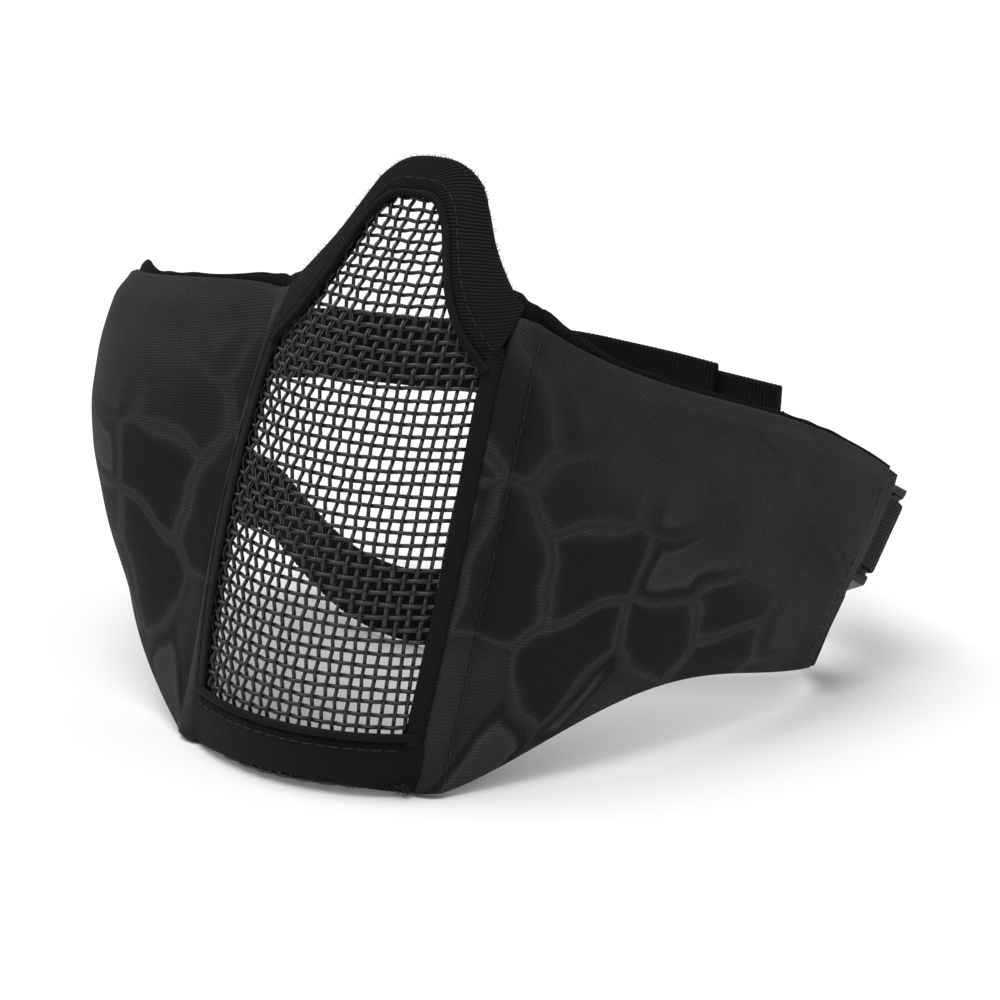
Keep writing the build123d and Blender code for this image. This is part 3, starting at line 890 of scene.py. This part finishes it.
for side in ("left", "right"):
    wing = side + "_wing"
    top, low, _, run, _ = wingAt(side, 0.0)
    rise = (top - low).normalized()
    lead = (run - rise * run.dot(rise)).normalized()
    middle = (top + low) * 0.5
    cloth = outerCloth(side)
    facesOut(cloth)
    finishShape(cloth, camoCloth)
    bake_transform(cloth)
    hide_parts(side + "_outer_shell", side + "_seam_fold")
    inner = liningSheet(side)
    facesOut(inner)
    finishShape(inner, liningCloth)
    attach(inner, wing)
    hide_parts(side + "_lining")
    core = foamSlab(side)
    finishShape(core, foamPad)
    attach(core, wing)
    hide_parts(side + "_foam")
for side in ("left", "right"):
    rows, uvs = [], []
    for i in range(13):
        f = -0.1 + 1.1 * i / 12
        row, uvRow = [], []
        for k in range(17):
            proud = 1 + (0.045 - 0.008 * f + 0.002 * math.sin(9 * f)) * (k / 16)
            q = 0.86 + (proud - 0.86) * k / 16
            row.append(put(foldPoint(side, f, q, -0.9 + 0.25 * math.sin(13 * f))))
            uvRow.append((f * wingSize["foldWide"] * mm, q * wingSize["tall"] * mm))
        rows.append(row)
        uvs.append(uvRow)
    facing = gridMesh(side + "_fold_facing", rows, uvs=uvs)
    solid = facing.modifiers.new("thick", "SOLIDIFY")
    solid.thickness = 0.7 * mm
    solid.offset = 0
    facesOut(bakeModifiers(facing))
    finishShape(facing, liningCloth)
    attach(facing, "front")
print("wings done")

strapSize = {"wide": 20.0, "thick": 1.5, "rib": 1.25, "ribDeep": 0.16,
             "webThick": 1.2, "webRib": 1.1, "webDeep": 0.2, "tabThick": 1.0, "tabWide": 19.0}


def strapPiece(name, rows, thick, rib, deep, material, start=0.0, finish=1.0, wide=None):
    # a ribbed flat strap along rows of centre and across direction
    wide = wide or strapSize["wide"]
    spots = [Vector(c) for c, _ in rows]
    acrosses = [Vector(a).normalized() for _, a in rows]
    length = sum((q - p).length for p, q in zip(spots, spots[1:]))
    count = int(length * (finish - start) / 0.42)
    profile = [(-0.5, 0.0), (-0.485, 0.36), (-0.45, 0.5), (-0.3, 0.52), (-0.1, 0.5)]
    profile += [(-x, z) for x, z in reversed(profile)]
    profile += [(-x, -z) for x, z in profile[1:-1]]
    grid, uvs, along, last = [], [], 0.0, None
    for i in range(count + 1):
        s = start + (finish - start) * i / count
        p = curveThrough(spots, s)
        run = (curveThrough(spots, min(s + 0.002, 1)) - curveThrough(spots, max(s - 0.002, 0))).normalized()
        across = curveThrough(acrosses, s)
        across = (across - run * across.dot(run)).normalized()
        out = run.cross(across)
        along += (p - last).length if last is not None else 0.0
        last = p
        swell = 1 + deep * math.sin(2 * math.pi * along / rib)
        side = 1 + 0.006 * math.sin(2 * math.pi * along / rib)
        row = [put(p + across * (x * wide * side) + out * (z * thick * swell)) for x, z in profile]
        grid.append(row)
        uvs.append([(along * mm, (x + (0.02 if z < 0 else 0)) * wide * mm) for x, z in profile])
    obj = gridMesh(name, grid, closedAcross=True, uvs=uvs, caps=True)
    facesOut(obj)
    finishShape(obj, material)
    return obj


def rearFrame(side, down, back):
    # square frame on a wing's rear edge: edge, backwards, outwards
    top, low, _, _, out = wingAt(side, 1.0)
    nearTop, nearLow, _, _, _ = wingAt(side, 0.85)
    run = (top + low - nearTop - nearLow).normalized()
    rise = (top - low).normalized()
    backward = (run - rise * run.dot(rise)).normalized()
    face = rise.cross(backward).normalized()
    if face.dot(out) < 0:
        face = -face
    return top - rise * down + backward * back, rise, backward, face


def sewnEnd(side, down, inside, slant, marks):
    spot, rise, back, face = rearFrame(side, down, -inside)
    base = spot - face * (wingSize["core"] + 1.3 + 0.5 + 0.75)
    lean = math.radians(slant)
    along = back * math.cos(lean) - rise * math.sin(lean)
    across = rise * math.cos(lean) + back * math.sin(lean)
    return [(tuple(base + along * t), tuple(across)) for t in marks]


upright = (0, 0, 1)
upperRows = sewnEnd("left", 9.5, 0, 0, (-14, -6, 2)) + [
    ((-86, 113, 63), (0, 0.1, 1)), ((-74, 131, 61), upright), ((-52, 146, 58), upright),
    ((-25, 157, 55.5), upright), ((5, 162, 53), upright), ((34, 159, 51), upright),
    ((52, 155, 50.5), upright)]
lowerRows = sewnEnd("left", 26, 12, 60, (0, 6, 12)) + [
    ((-78.5, 90.5, 31), (0.3, 0.5, 0.8)), ((-69, 96.5, 25.3), (0.35, -0.1, 0.92)),
    ((-60, 93.5, 20.9), (0.35, -0.16, 0.92)), ((-50, 89, 16.4), (0.3, -0.13, 0.94)),
    ((-40, 84.8, 13.2), (0.2, -0.08, 0.97)), ((-30, 81.5, 11.4), (0.1, -0.03, 1)),
    ((-19, 79.6, 10.6), upright),
    ((-7, 79.5, 11.4), (-0.1, 0, 1)), ((8, 82, 15), (-0.2, -0.05, 0.97)), ((24, 87.5, 20), (-0.15, -0.1, 1)),
    ((41, 96, 24), upright), ((60, 108, 23), (0, 0.2, 1)), ((77, 117, 13.5), (0.05, 0.5, 0.9))]
lowerRows += list(reversed(sewnEnd("right", 41.5, 0, 0, (-10, -3, 4))))

ringSpot, ringRise, ringBack, ringFace = rearFrame("right", 13.5, 8.0)
ringSpot = ringSpot - ringFace * 4.9
ringTurn = math.radians(60)
leave = ringBack * math.cos(ringTurn) - ringFace * math.sin(ringTurn)
lift = ringFace * math.cos(ringTurn) + ringBack * math.sin(ringTurn)


def elasticPiece(name, rows, **span):
    rib, deep = strapSize["rib"], strapSize["ribDeep"]
    return strapPiece(name, rows, strapSize["thick"], rib, deep, elasticBand, **span)


upperBand = elasticPiece("upper_head_strap", upperRows)
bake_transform(upperBand)
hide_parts("upper_elastic")
# the elastic's end is turned back and sewn over itself
turnedRows = [((-24, 155.7, 57.6), upright), ((-8, 158.9, 56.6), upright), ((5, 160.3, 55.3), upright),
              ((20, 159.8, 54.2), upright), ((32.5, 157.8, 53.4), upright)]
turnedEnd = elasticPiece("upper_strap_overlap", turnedRows)
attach(turnedEnd, "front")
lowerLeft = elasticPiece("lower_head_strap_left", lowerRows, finish=0.62)
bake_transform(lowerLeft)
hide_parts("lower_elastic")
lowerRight = elasticPiece("lower_head_strap_right", lowerRows, start=0.62)
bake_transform(lowerRight)
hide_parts("lower_elastic")


def webPiece(name, rows, thick=None, wide=None, **span):
    thick = thick or strapSize["webThick"]
    rib, deep = strapSize["webRib"], strapSize["webDeep"]
    return strapPiece(name, rows, thick, rib, deep, webbing, wide=wide, **span)


legLevel = -2.3
middle = ringSpot + leave * 18 + lift * legLevel
across = ringRise
leadRows = [(tuple(middle + leave * t), tuple(across)) for t in (0, 3)] + [
    ((69.5, 147.5, 24.3), (0.2, 0.2, 0.95)), ((62, 152.5, 28.5), (0.4, -0.1, 0.9)),
    ((54, 156.4, 36.5), (0.5, -0.1, 0.8)), ((45, 159.4, 45.5), (0.45, 0, 0.9))]
lead = webPiece("strap_lead", leadRows)
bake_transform(lead)
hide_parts("upper_webbing")


def ringRows(profile, turned):
    back, up = (leave, lift) if turned else (ringBack, ringFace)
    return [(tuple(ringSpot + back * y + up * z), tuple(ringRise)) for y, z in profile]


loopProfile = [
    (18, -2.3), (14, -2.3), (10.2, -2.1), (9.3, -0.3), (8.7, 1.8), (7.2, 2.3), (5.7, 1.8), (5.1, 0.0),
    (5.2, -2.4), (6.6, -3.9), (10, -4.1), (15, -4.1), (20, -4.3), (25, -4.9), (29.1, -5.8)]
loop = webPiece("strap_loop", ringRows(loopProfile, True))
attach(loop, "upper_ring")
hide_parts("upper_webbing")
upperTab = [(-20, 2.0), (-12, 2.2), (-4, 2.2), (0, 2.25), (1.6, 1.6), (2.25, 0)]
tabProfile = upperTab + [(y, -z) for y, z in reversed(upperTab[:-1])]
tabRows = ringRows(tabProfile, False)
tab = webPiece("ring_tab", tabRows, thick=strapSize["tabThick"], wide=strapSize["tabWide"])
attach(tab, "right_wing")
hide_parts("upper_tab")


def mouldedRing(node, body):
    # the ring with its sharp corners eased
    mesh = frame["nodes"][node].data.copy()
    obj = bpy.data.objects.new("strap_ring", mesh)
    bpy.context.scene.collection.objects.link(obj)
    bm = bmesh.new()
    bm.from_mesh(mesh)
    bmesh.ops.remove_doubles(bm, verts=bm.verts[:], dist=0.00001)
    bmesh.ops.dissolve_limit(bm, angle_limit=0.03, verts=bm.verts[:], edges=bm.edges[:])
    bm.to_mesh(mesh)
    bm.free()
    ease = obj.modifiers.new("ease", "BEVEL")
    ease.width = 0.45 * mm
    ease.segments = 3
    ease.limit_method = "ANGLE"
    ease.angle_limit = 0.6
    bakeModifiers(obj)
    for poly in obj.data.polygons:
        poly.use_smooth = True
    finishShape(obj, plastic)
    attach(obj, body)
    return obj


ring = mouldedRing("upper_adjuster", "upper_ring")
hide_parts("upper_adjuster")
print("straps done")

stitchSize = {"long": 2.3, "gap": 0.9, "radius": 0.17}


def stitchLine(points):
    # short sunk dashes along a line of points
    runs, along = [], 0.0
    marks = [0.0]
    for p, q in zip(points, points[1:]):
        marks.append(marks[-1] + (q - p).length)

    def at(d):
        for k in range(len(marks) - 1):
            if marks[k] <= d <= marks[k + 1] + 1e-9:
                return points[k].lerp(points[k + 1], (d - marks[k]) / max(marks[k + 1] - marks[k], 1e-9))
        return points[-1]

    step = (stitchSize["long"] + stitchSize["gap"]) * mm
    while along + stitchSize["long"] * mm < marks[-1]:
        runs.append([at(along + stitchSize["long"] * mm * k / 4) for k in range(5)])
        along += step
    return runs


def stitches(name, lines, body, material=None):
    dashes = [dash for line in lines for dash in stitchLine(line)]
    obj = wired(name, dashes, stitchSize["radius"] * mm, 5, material or thread)
    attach(obj, body)
    return obj


tapeTop = 1.95
noseLine = []
for i in range(121):
    t = -1 + 2 * i / 120
    a0, h0 = archLine(rimArch, t)
    a1, h1 = archLine(outerArch, t)
    gap = math.hypot(a1 - a0, h1 - h0)
    f = 2.4 / max(gap, 2.4)
    noseLine.append(put(onPanel(a0 + (a1 - a0) * f, h0 + (h1 - h0) * f, tapeTop)))
chinLine = [put(onPanel(arcLength(-27 + 54 * i / 60, 10), 10.2, 1.95)) for i in range(61)]
stitches("tape_stitches", [noseLine, chinLine], "front")
for side in ("left", "right"):
    crease = [put(foldPoint(side, 0.93, 0.015 + 0.97 * i / 60, 1.75)) for i in range(61)]
    stitches(side + "_crease_stitches", [crease], "front")
    rearHem = []
    for i in range(41):
        q = 0.05 + 0.9 * i / 40
        rearHem.append(put(wingPoint(side, 0.965, q, clothHeight(0.965, q) + 0.1)))
    stitches(side + "_hem_stitches", [rearHem], side + "_wing")


def fibres(name, spots, body, length, seed, material=None, radius=0.055):
    # loose thread ends: each spot is a point and a direction out
    rng = random.Random(seed)
    lines = []
    for p, out in spots:
        reach = length * rng.uniform(0.4, 1.0)
        bend = Vector((rng.uniform(-1, 1), rng.uniform(-1, 1), rng.uniform(-1, 1))) * 0.7
        lines.append([p + (out * t + bend * t * t) * reach * mm for t in (0, 0.33, 0.66, 1.0)])
    obj = wired(name, lines, radius * mm, 4, material or thread)
    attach(obj, body)
    return obj


rng = random.Random(11)
fray = []
for i in range(420):
    t = rng.uniform(-0.98, 0.98)
    a, h = archLine(outerArch, t)
    n = panelNormal(a, h)
    a0, h0 = archLine(rimArch, t)
    out = (panelSurface(a, h) - panelSurface(a0, h0)).normalized()
    tilt = rng.uniform(-1.2, 1.2)
    lean = out * math.cos(tilt) + n * math.sin(tilt)
    fray.append((put(panelSurface(a, h) + lean * 1.5), lean))
for i in range(150):
    x = rng.uniform(-28, 28)
    a, h = arcLength(x, 2), chinEdge(x) + 1.9
    lean = Vector((0, -0.6, -0.5 if h > 3 else 0.3))
    fray.append((put(panelSurface(a, h) + Vector((0, -0.5, -1.4))), lean))
fibres("tape_fray", fray, "front", 0.75, 5)
corner = put(seamPoint("right", 0.0, 0.5))
tuft = []
for _ in range(46):
    spot = Vector((rng.uniform(-1.6, 0.8), rng.uniform(-1.5, 0.5), rng.uniform(-0.2, 1.6)))
    tuft.append((corner + spot * mm, Vector((-0.6, -0.6, rng.uniform(-0.1, 0.7)))))
fibres("corner_tuft", tuft, "front", 3.4, 9, radius=0.09)
print("stitches done")

floorMesh = bpy.data.meshes.new("floor")
floorMesh.from_pydata([(-3, -3, 0), (3, -3, 0), (3, 3, 0), (-3, 3, 0)], [], [(0, 1, 2, 3)])
floor = bpy.data.objects.new("floor", floorMesh)
bpy.context.scene.collection.objects.link(floor)
paper, _, _, paperShader = newMaterial("paper")
paperShader.inputs["Base Color"].default_value = (0.92, 0.92, 0.92, 1)
paperShader.inputs["Roughness"].default_value = 0.9
floorMesh.materials.append(paper)

world = bpy.data.worlds.new("studio")
bpy.context.scene.world = world
world.use_nodes = True
world.node_tree.nodes["Background"].inputs["Color"].default_value = (1, 1, 1, 1)
world.node_tree.nodes["Background"].inputs["Strength"].default_value = 0.26

suns = [
    ("keyLight", (-0.55, -0.15, 1.5), 2.3, 0.95),
    ("backLight", (0.2, 0.9, 1.3), 0.7, 1.2),
    ("sideLight", (0.9, -0.9, 1.0), 0.5, 1.4),
]
for name, toward, strength, spread in suns:
    data = bpy.data.lights.new(name, "SUN")
    data.energy = strength
    data.angle = spread
    lamp = bpy.data.objects.new(name, data)
    lamp.rotation_euler = Vector(toward).to_track_quat("Z", "Y").to_euler()
    bpy.context.scene.collection.objects.link(lamp)

view = {"azimuth": 30.0, "elevation": 18.0, "distance": 545.0, "lens": 87.48,
        "aim": (12.0, 20.0, 62.0), "shift": (0.109, -0.006)}
camera = bpy.data.cameras.new("camera")
camera.sensor_width = 36.0
camera.lens = view["lens"]
camera.clip_start = 0.01
camera.shift_x, camera.shift_y = view["shift"]
cameraObject = bpy.data.objects.new("camera", camera)
az, el = math.radians(view["azimuth"]), math.radians(view["elevation"])
aim = put(view["aim"])
toward = Vector((math.sin(az) * math.cos(el), -math.cos(az) * math.cos(el), math.sin(el)))
cameraObject.location = aim + toward * view["distance"] * mm
cameraObject.rotation_euler = (aim - cameraObject.location).to_track_quat("-Z", "Y").to_euler()
bpy.context.scene.collection.objects.link(cameraObject)
bpy.context.scene.camera = cameraObject
bpy.context.scene.view_settings.view_transform = "Standard"
